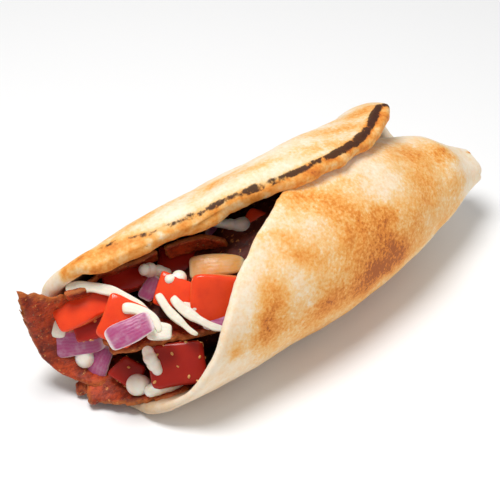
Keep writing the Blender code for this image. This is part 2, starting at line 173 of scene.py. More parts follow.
# %% From the flat disc to the roll
def rolled(x, angle):
    """The bread's middle surface at x and an angle in degrees round from the bottom."""
    centre_y, centre_z, half_width, half_height = sections_at(SECTIONS, x)
    turn = np.radians(angle)
    side, up = np.sin(turn), -np.cos(turn)
    out_y, out_z = -side / half_width, up / half_height
    length = np.hypot(out_y, out_z)
    over = smoothstep((near_rim_angle(x) - OVERLAP_ANGLE - angle) / OVERLAP_BLEND)
    lift = FLAP_LIFT * np.exp(-(((x / MM - FLAP_LIFT_AT) / FLAP_LIFT_SPREAD) ** 2))
    to_rim = np.radians(angle - back_rim_angle(x)) * half_width
    curl = smoothstep(1 - to_rim / LIP_WIDTH) * smoothstep((LIP_CURL_ENDS - x / MM) / 40)
    pillow = 0.5 * MM * np.sin(x / (17 * MM) + 1.0) * np.sin(2 * turn + x / (30 * MM))
    raised = over * (BREAD_THICKNESS + LAYER_GAP + lift) + pillow
    raised = raised - LIP_CURL * curl * (angle < -120)
    y = centre_y - half_width * side + raised * out_y / length
    z = centre_z + half_height * up + raised * out_z / length
    return np.stack([x, y, z], axis=-1)


def outward(x, angle):
    """The unit normal of the bread's middle surface, away from the filling."""
    dx, da = 0.2 * MM, 0.3
    along = rolled(x + dx, angle) - rolled(x - dx, angle)
    around = rolled(x, angle + da) - rolled(x, angle - da)
    normal = np.cross(along, around)
    return normal / np.linalg.norm(normal, axis=-1, keepdims=True)


def rim_curve(count):
    """Points evenly spaced along the rim, as x in metres and an angle in degrees."""
    closed = np.array(RIM + RIM[:1], float)
    steps = np.linalg.norm(np.diff(closed, axis=0) * [1.0, 0.5], axis=1)
    knots = np.concatenate([[0], np.cumsum(steps)])
    wrapped = np.concatenate([closed[-3:-1], closed, closed[1:3]])
    around = np.concatenate([knots[-3:-1] - knots[-1], knots, knots[1:3] + knots[-1]])
    at = np.linspace(0, knots[-1], count, endpoint=False)
    points = [hermite(around, wrapped[:, column], at) for column in (0, 1)]
    return np.stack(points, axis=-1) * [MM, 1.0]


print("top of the roll at x = 0, in mm:", round(float(rolled(np.array([0.0]), np.array([180.0]))[0, 2]) / MM))

# %% [markdown]
# ## Toast and char
# The bread was pressed on a hot plate, so its colour comes in patches where it touched, paler between them,
# and the crest of the back flap's lip is charred. Each patch is a soft spot on the unrolled bread. Their sum
# is kept on the vertices, so that the colour follows the dough and not the air round it.

# %% Where the bread is toasted
MEAN_RADIUS = 36
LIP_RADIUS = 38
CHAR_ENDS = 66 * MM
# Painted shade inside the mouth fades out towards this x, in mm.
MOUTH_SHADE_ENDS = 70

# x in mm, degrees round, length along the roll and round it in mm, slant in degrees, strength
TOAST = (
    (-49, 103, 9, 14, 10, 0.72),
    (-57, 92, 8, 9, 0, 0.45),
    (-71, 90, 4, 4, 0, 0.4),
    (-2, 100, 24, 16, 12, 0.66),
    (-4, 84, 26, 8, 0, 0.42),
    (20, 96, 18, 13, 0, 0.5),
    (-30, 84, 16, 9, 0, 0.48),
    (-4, 146, 24, 7, 22, 0.54),
    (8, 124, 22, 8, 14, 0.5),
    (-14, 163, 14, 4, 25, 0.4),
    (-34, 144, 11, 3.5, 30, 0.4),
    (-28, 126, 14, 4, 30, 0.42),
    (12, 156, 18, 5, 14, 0.32),
    (60, 165, 18, 12, 0, 0.6),
    (80, 152, 10, 11, 0, 0.68),
    (106, 168, 2.4, 3, 0, 1.5),
    (56, 128, 15, 12, 0, 0.56),
    (78, 112, 12, 10, 0, 0.42),
    (44, 106, 18, 10, 0, 0.34),
    (34, 82, 22, 9, 0, 0.42),
    (22, 122, 10, 7, 0, 0.25),
    (70, 80, 18, 10, 0, 0.4),
    (-10, 50, 40, 12, 0, 0.55),
    (40, 30, 30, 14, 0, 0.5),
    (-60, 20, 24, 12, 0, 0.35),
    (-20, -20, 34, 14, 0, 0.55),
    (50, -50, 24, 16, 0, 0.6),
    (-70, -60, 22, 14, 0, 0.5),
    (-10, -80, 30, 14, 14, 0.7),
    (66, -86, 16, 10, 0, 0.45),
    (-70, -110, 22, 8, 10, 0.5),
    (-20, -124, 24, 9, 10, 0.55),
    (26, -140, 22, 6, 16, 0.5),
    (-63, -146, 18, 5, 0, 0.42),
    (-33, -160, 12, 4, 0, 0.62),
    (-24, -172, 12, 3, 10, 0.42),
    (12, -180, 15, 3.5, 8, 0.55),
    (30, -168, 17, 4.5, 8, 0.66),
    (50, -158, 10, 4, 0, 0.6),
    (-88, -130, 12, 8, 0, 0.3),
)

# The charred crest of the back flap's lip: x in mm, degrees round, width in mm, strength
CHAR = (
    (-104, -132, 0.9, 0.35),
    (-91, -142, 1.1, 0.45),
    (-72, -159, 1.3, 0.6),
    (-50, -172, 1.3, 0.7),
    (-31, -182, 1.4, 0.75),
    (-11, -188, 1.5, 0.8),
    (4, -190, 1.5, 0.85),
    (16, -189, 1.7, 1.0),
    (34, -183, 2.2, 1.2),
    (50, -171, 2.2, 1.2),
    (60, -162, 1.8, 1.0),
)


def toasted(x, angle):
    """How toasted the bread is, from 0 to about 1."""
    total = np.zeros_like(x)
    for patch_x, patch_angle, along, around, slant, strength in TOAST:
        dx = x / MM - patch_x
        ds = np.radians(angle - patch_angle) * MEAN_RADIUS
        turn = math.radians(slant)
        u = dx * math.cos(turn) - ds * math.sin(turn)
        v = dx * math.sin(turn) + ds * math.cos(turn)
        total += strength * np.exp(-((u / along) ** 2) - (v / around) ** 2)
    return total


def charred(x, angle):
    """How charred the lip's crest is, and how far below the crest the point lies, in mm."""
    table = np.array(CHAR, float)
    crest, width, strength = [hermite(table[:, 0] * MM, table[:, k], x) for k in (1, 2, 3)]
    below = np.radians(crest - angle) * LIP_RADIUS
    return strength * np.exp(-((below / width) ** 2)) * (x < CHAR_ENDS), below


print("toasted patches:", len(TOAST))


# %% Build the bread
def cloud(points, size, seed):
    """Soft noise from -1 to 1 at each point, with lumps of the size given in metres."""
    shift = Vector((seed * 7.31, seed * 3.77, seed * 5.13))
    return np.array([noise.noise(Vector(point) / size + shift) for point in points])


def mesh_from(verts, faces):
    """A smooth mesh with its faces turned outward."""
    mesh = bpy.data.meshes.new("look")
    mesh.from_pydata([tuple(vert) for vert in verts], [], faces)
    bm = bmesh.new()
    bm.from_mesh(mesh)
    bmesh.ops.recalc_face_normals(bm, faces=bm.faces)
    bm.to_mesh(mesh)
    bm.free()
    mesh.shade_smooth()
    return mesh


def paint(mesh, name, values):
    """Keeps one number for each vertex, for a material to read."""
    layer = mesh.attributes.new(name, "FLOAT", "POINT")
    layer.data.foreach_set("value", np.asarray(values, np.float32))


def wander_round(count, waves, seed):
    """Noise from -1 to 1 that closes on itself round the rim."""
    turns = np.linspace(0, 2 * math.pi, count, endpoint=False)
    return np.array([noise.noise(Vector((waves * math.cos(t), waves * math.sin(t), seed))) for t in turns])


def bread_mesh(sectors=384, rings=112):
    """The rolled bread as one closed skin, with puffs, dimples and an uneven rim."""
    rim = rim_curve(sectors)
    wander = wander_round(sectors, 9, 0.3)
    ragged = wander_round(sectors, 40, 4)
    rim = rim * (1 + 0.012 * wander + 0.004 * ragged)[:, None]
    back = smoothstep((-rim[:, 1] - 60) / 60)
    near = smoothstep((rim[:, 1] - 20) / 40)
    rim_thickness = BREAD_THICKNESS + back * (BACK_RIM_THICKNESS - BREAD_THICKNESS)
    rim_thickness = rim_thickness + near * (NEAR_RIM_THICKNESS - BREAD_THICKNESS)
    spread = [(share, 1.0) for share in np.linspace(0, 1, rings + 1)[:-1] ** 0.85 * 0.975]
    quarter = np.linspace(0, math.pi / 2, 7)[1:]
    rounded = [(0.975 + 0.025 * math.sin(t), math.cos(t) ** 0.8 if t < 1.57 else 0.0) for t in quarter]
    sides, values = ([], []), ([], [])
    for share, fullness in spread + rounded:
        x, angle = share * rim[:, 0], share * rim[:, 1]
        blend = smoothstep((share - 0.7) / 0.25)
        thickness = BREAD_THICKNESS + blend * (rim_thickness - BREAD_THICKNESS)
        middle, normal = rolled(x, angle), outward(x, angle)
        char, below = charred(x, angle)
        # The turned-down band of the back flap's lip beyond its crest, browned in the finish: partly toast,
        # partly painted shade on its downward face.
        lip = smoothstep((below + 1) / 3) * (angle < -100)
        toast = toasted(x, angle)
        for side, sign in ((0, 1), (1, -1)):
            skin = middle + normal * (sign * fullness * thickness / 2)[:, None]
            puff = cloud(skin, 21 * MM, 3 + side) * 0.7 + cloud(skin, 7 * MM, 5 + side) * 0.28
            puff = puff + cloud(skin, 2.4 * MM, 8) * 0.07
            if side == 0:
                crease = cloud(skin * [1.0, 0.5, 0.5], 9 * MM, 11)
                puff = puff - 0.35 * np.exp(-((crease / 0.05) ** 2)) * near * blend
                puff = puff + 0.7 * char * (cloud(skin, 4 * MM, 6) > 0)
            rise = puff * MM * max(fullness, 0.3)
            sides[side].append(skin + normal * (sign * rise)[:, None])
            # Painted shade: marks the inner skin near the mouth, which the finish paints nearly black as the
            # shadow inside the roll.
            depth = side * smoothstep((1.0 - share) / 0.12) * smoothstep((MOUTH_SHADE_ENDS - x / MM) / 40)
            values[side].append(np.stack([toast, char, lip, depth]))
    verts, painted, faces = list(sides[0][-1]), [values[0][-1].T], []
    for side, order in ((0, 1), (1, -1)):
        pole = len(verts)
        verts.append(sides[side][0][0])
        painted.append(values[side][0][:, :1].T)
        starts = []
        for ring, value in zip(sides[side][1:-1], values[side][1:-1]):
            starts.append(len(verts))
            verts.extend(ring)
            painted.append(value.T)
        starts.append(0)
        for i in range(sectors):
            j = (i + 1) % sectors
            faces.append((pole, starts[0] + i, starts[0] + j)[::order])
            for low, high in zip(starts, starts[1:]):
                faces.append((low + i, high + i, high + j, low + j)[::order])
    verts = np.array(verts)
    verts[:, 2] = np.maximum(verts[:, 2], 0.0)
    mesh = mesh_from(verts, faces)
    for name, column in zip(("toast", "char", "lip", "depth"), np.concatenate(painted).T):
        paint(mesh, name, column)
    return mesh


bread = bread_mesh()
print("bread faces:", len(bread.polygons))

# %% [markdown]
# ## A small language for finishes
# Node trees are easiest to read as arithmetic. A socket is wrapped in a Python object whose operators add
# Math nodes, so that 1 - mask or mask * 0.4 + 0.1 builds the nodes that it names. Every other node comes from
# one method, which sets the node's own options first and then fills or links its sockets.


# %% Sockets that can be added and multiplied
class Socket:
    """One output of a node, on which arithmetic adds Math nodes."""

    def __init__(self, finish, output):
        self.finish = finish
        self.output = output

    def maths(self, operation, first, second):
        return self.finish.node("ShaderNodeMath", {"operation": operation}, {0: first, 1: second})

    def __add__(self, other):
        return self.maths("ADD", self, other)

    def __sub__(self, other):
        return self.maths("SUBTRACT", self, other)

    def __rsub__(self, other):
        return self.maths("SUBTRACT", other, self)

    def __mul__(self, other):
        return self.maths("MULTIPLY", self, other)

    __radd__ = __add__
    __rmul__ = __mul__


class Finish:
    """A material whose colour, gloss and relief are written as expressions."""

    def __init__(self, name, **constants):
        self.material = bpy.data.materials.new(name)
        self.material.use_nodes = True
        self.tree = self.material.node_tree
        self.shader = self.tree.nodes["Principled BSDF"]
        for socket, value in constants.items():
            self.shader.inputs[socket.replace("_", " ")].default_value = value

    def node(self, kind, settings, sockets, output=0):
        made = self.tree.nodes.new(kind)
        for name, value in settings.items():
            if name == "stops":
                self.fill_ramp(made.color_ramp, value)
            else:
                setattr(made, name, value)
        for key, value in sockets.items():
            if isinstance(value, Socket):
                self.tree.links.new(value.output, made.inputs[key])
            else:
                made.inputs[key].default_value = value
        return Socket(self, made.outputs[output])

    def fill_ramp(self, ramp, stops):
        while len(ramp.elements) < len(stops):
            ramp.elements.new(1.0)
        for element, (position, colour) in zip(ramp.elements, stops):
            element.position = position
            element.color = (*colour, 1.0)

    def coordinates(self, stretch=(1, 1, 1)):
        place = self.node("ShaderNodeTexCoord", {}, {}, 3)
        return self.node("ShaderNodeMapping", {}, {"Vector": place, "Scale": stretch})

    def attribute(self, name):
        return self.node("ShaderNodeAttribute", {"attribute_name": name}, {}, 2)

    def noise(self, size, detail=3, rough=0.5, stretch=(1, 1, 1), twist=0.0):
        """Noise from 0 to 1 with lumps of the size given in metres."""
        sockets = {"Vector": self.coordinates(stretch), "Scale": 1 / size, "Detail": detail}
        return self.node("ShaderNodeTexNoise", {}, {**sockets, "Roughness": rough, "Distortion": twist})

    def step(self, value, low, high):
        """0 below low, 1 above high, and smooth between."""
        sockets = {"Value": value, "From Min": low, "From Max": high}
        return self.node("ShaderNodeMapRange", {"interpolation_type": "SMOOTHSTEP"}, sockets)

    def ramp(self, value, stops):
        return self.node("ShaderNodeValToRGB", {"stops": stops}, {"Fac": value})

    def mix(self, factor, first, second):
        """Two colours, the second where the factor is 1."""
        pair = {6: first, 7: second}
        for key, value in pair.items():
            if not isinstance(value, Socket):
                pair[key] = (*value, 1.0)
        return self.node("ShaderNodeMix", {"data_type": "RGBA"}, {0: factor, **pair}, 2)

    def relief(self, height, distance):
        """A Bump node whose height of 1 stands the distance in metres proud."""
        return self.node("ShaderNodeBump", {}, {"Height": height, "Distance": distance, "Strength": 1.0})

    def use(self, **sockets):
        for name, value in sockets.items():
            self.tree.links.new(value.output, self.shader.inputs[name.replace("_", " ")])
        return self.material


print("finish helpers ready")

# %% [markdown]
# ## The bread's finish
# Baked dough is cream where it puffed away from the heat and goes through gold to brown where it touched.
# The toast is never even: broad clouds shift it, and fine specks break its edges, because single blisters
# catch the heat first. The surface is matt and a little translucent. Inside the mouth the bread is painted
# nearly black as shade, and its underside is painted a little greyer as shade.

# %% Toasted dough
# Heights between which the bread is painted greyer as shade towards the floor: none above the first, full
# below the second.
SHADE_FROM = 24 * MM
SHADE_FULL = 3 * MM


def bread_finish():
    dough = Finish("toasted_dough", Subsurface_Weight=0.1, Subsurface_Scale=0.003, Specular_IOR_Level=0.25)
    toast, char, lip = [dough.attribute(name) for name in ("toast", "char", "lip")]
    depth = dough.attribute("depth")
    broad = dough.noise(17 * MM, 4, 0.55)
    speck = dough.noise(1.5 * MM, 4, 0.65)
    mottle = dough.noise(5 * MM, 3, 0.6)
    amount = toast * (broad * 0.7 + 0.45) + (broad - 0.5) * 0.5 + (mottle - 0.5) * 0.42
    # The lip term browns the back flap's turned-down lip: partly toast, partly painted shade.
    amount = amount + lip * (mottle * 1.1 - 0.08) + (speck - 0.5) * (toast * 1.3 + 0.4) + char * 0.6 + 0.06
    shades = (
        (0.0, (0.9, 0.77, 0.6)),
        (0.14, (0.88, 0.68, 0.45)),
        (0.3, (0.87, 0.55, 0.24)),
        (0.5, (0.84, 0.4, 0.1)),
        (0.7, (0.76, 0.27, 0.04)),
        (0.9, (0.62, 0.18, 0.025)),
        (1.0, (0.42, 0.11, 0.018)),
    )
    colour = dough.ramp(amount, shades)
    broken = dough.noise(2.4 * MM, 4, 0.65) * 2.0 + dough.noise(8 * MM, 2, 0.5) * 2.4 - 1.15
    burnt = dough.step(char * broken, 0.34, 0.62)
    colour = dough.mix(burnt * 0.94, colour, (0.035, 0.012, 0.007))
    # Painted shade: the inner skin near the mouth is painted nearly black.
    colour = dough.mix(depth, colour, (0.045, 0.014, 0.006))
    height_up = dough.node("ShaderNodeSeparateXYZ", {}, {0: dough.coordinates()}, 2)
    # Painted shade: the bread is painted greyer and darker towards the floor.
    under = dough.step(height_up, SHADE_FROM, SHADE_FULL)
    colour = dough.mix(under * 0.55, colour, (0.4, 0.25, 0.14))
    fleck = dough.step(dough.noise(2.1 * MM, 1, 0.4), 0.8, 0.86)
    colour = dough.mix(fleck * 0.5, colour, (0.3, 0.13, 0.05))
    height = broad * 0.5 + mottle * 0.35 + speck * 0.3
    return dough.use(
        Base_Color=colour,
        Roughness=0.72 - speck * 0.2,
        Normal=dough.relief(height, 0.55 * MM),
    )


toasted_dough = bread_finish()
print("finish:", toasted_dough.name)

# %% [markdown]
# ## Cut vegetables
# Diced tomato has one smooth skin side and cut sides that are paler and wet. Onion is a curved petal, purple
# outside and white where it was cut. Cabbage and white onion are narrow bent ribbons. All are rounded boxes
# that are bent and tapered, so one function makes them, and it paints the skin side for the finish to find.

# %% Rounded, bent pieces
# Name, centre in mm, turn in degrees, length, width and thickness in mm, bend and cup in degrees, taper
TOMATO = (
    ("tomato_wedge_left", (-102.3, 18.3, 38), (40, -20, -28), (25, 12, 9), 14, 12, 0.15),
    ("tomato_round_front", (-96.7, 0.8, 39), (35, -42, 12), (18, 16, 9), 24, 15, -0.1),
    ("tomato_block_right", (-58.7, -16.2, 42), (60, 4, -37), (23, 19, 11), 12, 10, 0.05),
    ("tomato_low_front", (-81.4, -16.8, 19), (52, -5, -36), (23, 18, 11), 10, 5, 0.05),
    ("tomato_centre", (-71.4, -2.9, 43), (44, 11, -57), (15, 13, 9), 10, 10, 0.1),
    ("tomato_back_right", (-23.8, -0.5, 51), (24, -48, 19), (17, 15, 9), 10, 10, 0.1),
    ("tomato_back_dark", (-54.2, 12.9, 41), (30, -2, -37), (22, 12, 9), 5, 10, 0.1),
    ("tomato_far_dark", (-79.8, 19.9, 41), (29, -8, -25), (20, 12, 9), 5, 10, 0.1),
    ("tomato_flesh_left", (-101.4, 14.7, 29), (44, -10, -30), (16, 9, 7), 5, 10, 0.1),
    ("tomato_seed_low", (-96.1, -2, 13), (31, -42, 8), (11, 12, 7), 5, 10, 0.2),
)
ONION = (
    ("onion_left", (-110.5, 19, 23), (72, -10, -45), (30, 11.5, 3.8), 54, 6, 0.1),
    ("onion_centre", (-100.6, -10.6, 43), (38, -19, -21), (20, 10, 3.4), 26, 12, 0.05),
    ("onion_low", (-102.9, 9.7, 14), (27, -56, 7), (17, 9, 3.2), 44, 8, 0.1),
    ("onion_back", (-33.4, 7.3, 48), (33, 12, -57), (22, 7, 2.6), 26, 10, 0.3),
    ("onion_back_right", (-34, -2, 43), (33, -27, 5), (14, 11, 2.8), 22, 10, 0.1),
    ("onion_under_block", (-63.1, -23.4, 36), (40, 3, -43), (15, 7, 2.8), 20, 8, 0.1),
    ("onion_small_dark", (-75.8, 8.5, 41), (28, -41, 11), (11, 6, 2.6), 30, 8, 0.2),
    ("onion_white_left", (-112.4, 26.1, 32), (0, -54, 40), (14, 10, 4), 26, 8, 0.1),
    ("onion_white_cube", (-88.4, -14.5, 39), (42, 4, -44), (10, 7.5, 4), 8, 6, 0.1),
    ("pepper_slice", (-50.1, -4.4, 47.5), (36, -4, -34), (23, 9.5, 5.6), 44, 34, 0.22),
)
RIBBONS = (
    ("onion_white_arc", (-90.1, -7.6, 44.5), (33, 20, -67), (20, 4.4, 2.6), 78, 0, 0.2),
    ("cabbage_ribbon_left", (-93.6, 9.2, 47.5), (36, 12, -55), (40, 4, 2), 60, 0, 0.35),
    ("cabbage_ribbon_mid", (-78.9, -12.3, 40), (31, 27, -78), (24, 3.4, 2), -30, 0, 0.3),
    ("cabbage_ribbon_right", (-73.1, -18.9, 40.5), (33, 19, -66), (27, 3.8, 2), -38, 0, 0.3),
)
CRUMBS = (
    ("meat_crumb_low", (-109.7, 9.7, 5), (38, -12, -25), (10, 6.5, 4), 10, 10, 0.1),
)


def lattice(cells):
    """The surface of a box from -1 to 1, cut into cells along each axis."""
    index, verts, faces = {}, [], []

    def corner(key):
        if key not in index:
            index[key] = len(verts)
            verts.append([2 * key[axis] / cells[axis] - 1 for axis in range(3)])
        return index[key]

    for axis in range(3):
        first, second = (axis + 1) % 3, (axis + 2) % 3
        for side in (0, cells[axis]):
            for i in range(cells[first]):
                for j in range(cells[second]):
                    quad = []
                    for di, dj in ((0, 0), (1, 0), (1, 1), (0, 1)):
                        key = [0, 0, 0]
                        key[axis], key[first], key[second] = side, i + di, j + dj
                        quad.append(corner(tuple(key)))
                    faces.append(quad)
    return np.array(verts, float), faces


def bend(points, along, across, degrees, length):
    """Bends points round an axis, with the across side outward."""
    if degrees:
        radius = length / math.radians(degrees)
        turn = points[:, along] / radius
        reach = radius + points[:, across]
        points[:, along] = reach * np.sin(turn)
        points[:, across] = reach * np.cos(turn) - radius


def ripple(points, size, seed):
    """A smooth uneven offset of about one, different for every seed."""
    phase = seed * np.array([1.7, 2.9, 4.1])
    waves = [np.sin(points @ np.roll([5.1, 3.3, 4.2], k) / size + phase[k]) for k in range(3)]
    return np.stack(waves, axis=-1)


def chunk_mesh(row, cells, sharpness, wobble, sideways=False, grain=0.12):
    """A rounded, bent and tapered piece, placed and turned."""
    name, centre, turn, size, arc, cup, taper = row
    unit, faces = lattice(cells)
    reach = np.sin(unit * math.pi / 2)
    unit = reach / (np.abs(reach) ** sharpness).sum(axis=1, keepdims=True) ** (1 / sharpness)
    points = unit * np.array(size) / 2
    points[:, 1:] *= 1 - taper * unit[:, :1]
    seed = sum(map(ord, name))
    points += wobble * ripple(points, max(size[1], 9.0), seed) * [1.0, 1.0, 0.6]
    dents = cloud(points, 4.0, seed) * grain + cloud(points, 1.5, seed + 1) * grain * 0.4
    points += unit * dents[:, None]
    bend(points, 0, 1 if sideways else 2, arc, size[0])
    bend(points, 1, 2, 0 if sideways else cup, size[1])
    turned = Euler([math.radians(value) for value in turn]).to_matrix()
    placed = [(turned @ Vector(point) + Vector(centre)) * MM for point in points]
    mesh = mesh_from(placed, faces)
    paint(mesh, "skin", smoothstep((unit[:, 2] - 0.62) / 0.25))
    paint(mesh, "across", unit[:, 1] * size[1] + unit[:, 2] * size[2])
    paint(mesh, "end", smoothstep((np.abs(unit[:, 0]) - 0.76) / 0.2))
    return mesh


print("cut pieces:", len(TOMATO) + len(ONION) + len(RIBBONS))


# %% Tomato, onion and cabbage finishes
def tomato_finish(name, skin, flesh, wet):
    pulp = Finish(name, Subsurface_Weight=0.3, Subsurface_Scale=0.003, IOR=1.38)
    pulp.shader.inputs["Subsurface Radius"].default_value = (1.0, 0.25, 0.1)
    outer = pulp.attribute("skin")
    cloudy = pulp.noise(5 * MM, 4, 0.6)
    streak = pulp.noise(1.6 * MM, 3, 0.6, (1, 1, 0.35), 0.6)
    deep = (skin[0] * 0.8, skin[1] * 0.6, skin[2])
    pale = tuple(min(1.0, value * 1.25 + 0.03) for value in flesh)
    peel = pulp.mix(pulp.step(cloudy, 0.35, 0.85) * 0.6, skin, deep)
    inner = pulp.mix(pulp.step(streak, 0.42, 0.66), flesh, pale)
    colour = pulp.mix(outer, inner, peel)
    bumps = streak * (1 - outer * 0.92) + cloudy * (1 - outer * 0.5) * 0.4
    return pulp.use(
        Base_Color=colour,
        Roughness=wet + (1 - outer) * 0.1 + (cloudy - 0.5) * 0.12,
        Normal=pulp.relief(bumps, 0.3 * MM),
    )


def onion_finish(name, skin, flesh):
    petal = Finish(name, Subsurface_Weight=0.25, Subsurface_Scale=0.002, IOR=1.4)
    outer = petal.attribute("skin") * (1 - petal.attribute("end") * 0.8)
    line = petal.attribute("across")
    wave = petal.node("ShaderNodeMath", {"operation": "SINE"}, {0: line * 2.2 + petal.noise(3 * MM) * 7})
    stripe = petal.step(wave, -0.9, 1.0)
    cloudy = petal.noise(3.4 * MM, 4, 0.6)
    pale = tuple(value * 0.5 + 0.32 for value in skin)
    purple = petal.mix(stripe * 0.1 + petal.step(cloudy, 0.4, 0.75) * 0.45, skin, pale)
    colour = petal.mix(outer, flesh, purple)
    return petal.use(
        Base_Color=colour,
        Roughness=0.24 + cloudy * 0.14,
        Normal=petal.relief(stripe * 0.1 + cloudy, 0.3 * MM),
    )


tomato_bright = tomato_finish("tomato_bright", (0.87, 0.07, 0.016), (0.88, 0.17, 0.045), 0.16)
# A darker copy of the tomato finish: painted shade for the pieces that lie low in the mouth and on its far
# side.
tomato_shaded = tomato_finish("tomato_shaded", (0.42, 0.02, 0.01), (0.46, 0.05, 0.02), 0.2)
onion_purple = onion_finish("onion_purple", (0.42, 0.07, 0.2), (0.9, 0.8, 0.78))
onion_white = onion_finish("onion_white", (0.86, 0.8, 0.66), (0.84, 0.78, 0.62))
pepper_yellow = onion_finish("pepper_yellow", (0.78, 0.38, 0.1), (0.88, 0.68, 0.38))
print("vegetable finishes: 5")

# %% [markdown]
# ## Sliced meat
# Meat from the spit comes off in thin, limp slices with a browned outer edge. They line the mouth of the
# roll, so each slice is a sheet drawn through a few rows of points and given a small thickness. Its edge is
# ragged, its face is grained along the fibres, and oil makes it glint.

# %% Slices and the heap behind them
# Name, thickness in mm, and rows of points on the middle surface in mm
MEAT = (
    (
        "meat_slice_trough",
        2.6,
        (
            ((-129.1, 25.8, 55), (-110, 21.4, 46.4), (-90, 23.7, 47.7)),
            ((-129.1, 24.5, 47.5), (-110, 25.3, 37.6), (-90, 27.5, 38.2)),
            ((-125.2, 28.5, 34), (-110, 24.9, 27.3), (-90, 26.8, 28.1)),
            ((-122.8, 26.8, 23), (-110, 20.4, 18.1), (-90, 22.2, 18.7)),
            ((-120.5, 23, 15.5), (-109, 12.7, 10.8), (-90, 13.8, 11.3)),
            ((-115.4, 17.8, 10), (-106, 1.8, 7.1), (-90, 2.7, 7.4)),
        ),
    ),
    (
        "meat_slice_floor",
        2.8,
        (
            ((-113.6, 4.5, 2.4), (-106.1, -8.7, 5.5), (-95.3, -18.5, 8.2), (-82.7, -26, 10.5)),
            ((-114, 2, 4.6), (-100, -4, 6.8), (-86, -9, 6.8), (-70, -14, 8)),
            ((-110, 9, 7.2), (-98, 4, 9.6), (-84, 0, 8.6), (-68, -4, 7.2)),
        ),
    ),
    (
        "meat_slice_middle",
        3.2,
        (
            (
                (-103.3, -0.9, 26),
                (-92.9, -7.7, 28),
                (-82.7, -13.5, 30.5),
                (-70.9, -19.9, 31),
                (-58, -26.3, 33),
            ),
            ((-100, 9, 24.5), (-88, 4, 27.5), (-76, -2, 29), (-62, -10, 29), (-48, -17, 31)),
            ((-96, 16, 23), (-85, 12, 26.5), (-72, 7, 27), (-58, 0, 28), (-44, -7, 30)),
        ),
    ),
    (
        "meat_strip_back",
        2.4,
        (
            ((-92.5, 23.2, 47), (-84.4, 20.1, 49), (-76.2, 17, 51), (-67.3, 14.1, 52.5)),
            ((-93, 25.8, 43), (-83.1, 23.7, 43), (-74.2, 20.1, 45), (-64.9, 16.9, 46)),
        ),
    ),
    (
        "meat_strip_left",
        2.6,
        (
            ((-111.1, 19.7, 49), (-104.5, 17.7, 49.5), (-98, 15.6, 49), (-93.2, 12.4, 48)),
            ((-107.4, 22.9, 42), (-102.1, 20.3, 43), (-95.9, 17.6, 42.5), (-91, 14.4, 42)),
        ),
    ),
    (
        "meat_crust_back",
        3,
        (
            ((-65, 12.3, 54), (-55.9, 10.2, 55), (-47.7, 7, 55.5), (-40.3, 1.5, 53)),
            ((-61.8, 12.6, 47), (-52.2, 11.1, 48), (-45.3, 6.2, 48.5), (-37.4, 1.1, 45.5)),
        ),
    ),
)

# x, centre y, centre z, half width and half height in mm
HEAP = (
    (-86, 9, 20, 8, 6),
    (-76, 8, 22, 15, 12),
    (-60, 5, 25, 24, 17),
    (-40, 4, 29, 28, 22.5),
    (-20, 2, 33, 31, 27),
    (4, 1, 35.8, 33.2, 30),
    (40, 2, 34, 27.8, 25.8),
    (66, 3, 31.3, 19.6, 17.6),
    (84, 3, 29.4, 13, 11.2),
)


def slice_mesh(name, thickness, rows, cells=(96, 48)):
    """A thin slice through rows of points, with a ragged edge."""
    grid = np.array(rows, float)
    across, down = np.linspace(0, 1, cells[0] + 1), np.linspace(0, 1, cells[1] + 1)
    lines = []
    for row in grid:
        knots = np.linspace(0, 1, len(row))
        lines.append(np.stack([hermite(knots, row[:, k], across) for k in range(3)], axis=-1))
    lines = np.array(lines)
    knots = np.linspace(0, 1, len(lines))
    middle = np.zeros((len(down), len(across), 3))
    for i in range(len(across)):
        for k in range(3):
            middle[:, i, k] = hermite(knots, lines[:, i, k], down)
    seed = sum(map(ord, name))
    flat = middle.reshape(-1, 3)
    lumps = cloud(flat, 9.0, seed).reshape(middle.shape[:2])
    grit = cloud(flat * [1.0, 1.0, 0.5], 1.6, seed + 1).reshape(middle.shape[:2])
    normal = np.cross(np.gradient(middle, axis=0), np.gradient(middle, axis=1))
    normal /= np.linalg.norm(normal, axis=-1, keepdims=True)
    v, u = np.meshgrid(down, across, indexing="ij")
    edge = np.minimum.reduce([u / 0.03, (1 - u) / 0.03, v / 0.06, (1 - v) / 0.06])
    ragged = cloud(flat, 3.2, seed + 2).reshape(middle.shape[:2]) * np.exp(-edge)
    middle = middle + np.gradient(middle, axis=0) * (ragged * 3.0)[..., None]
    middle = middle + np.gradient(middle, axis=1) * (ragged * 3.0)[..., None]
    middle = middle + normal * (lumps * 1.1 + grit * 0.12)[..., None]
    fullness = np.sqrt(np.clip(edge, 0.05, 1.0)) * (1 + 0.18 * lumps)
    half = normal * (thickness / 2 * fullness)[..., None]
    front = (middle + half + normal * (grit * 0.14)[..., None]).reshape(-1, 3)
    verts = np.concatenate([front, (middle - half).reshape(-1, 3)]) * MM
    width, count = len(across), len(across) * len(down)
    faces = []
    for j in range(len(down) - 1):
        for i in range(width - 1):
            a = j * width + i
            quad = (a, a + 1, a + width + 1, a + width)
            faces.append(quad)
            faces.append(tuple(v + count for v in quad[::-1]))
    border = [(0, i) for i in range(width - 1)] + [(j, width - 1) for j in range(len(down) - 1)]
    border += [(len(down) - 1, i) for i in range(width - 1, 0, -1)]
    border += [(j, 0) for j in range(len(down) - 1, 0, -1)]
    loop = [j * width + i for j, i in border]
    for a, b in zip(loop, loop[1:] + loop[:1]):
        faces.append((a, b, b + count, a + count))
    mesh = mesh_from(verts, faces)
    crust = np.exp(-edge.reshape(-1) * 0.55)
    paint(mesh, "crust", np.concatenate([crust, crust]))
    return mesh


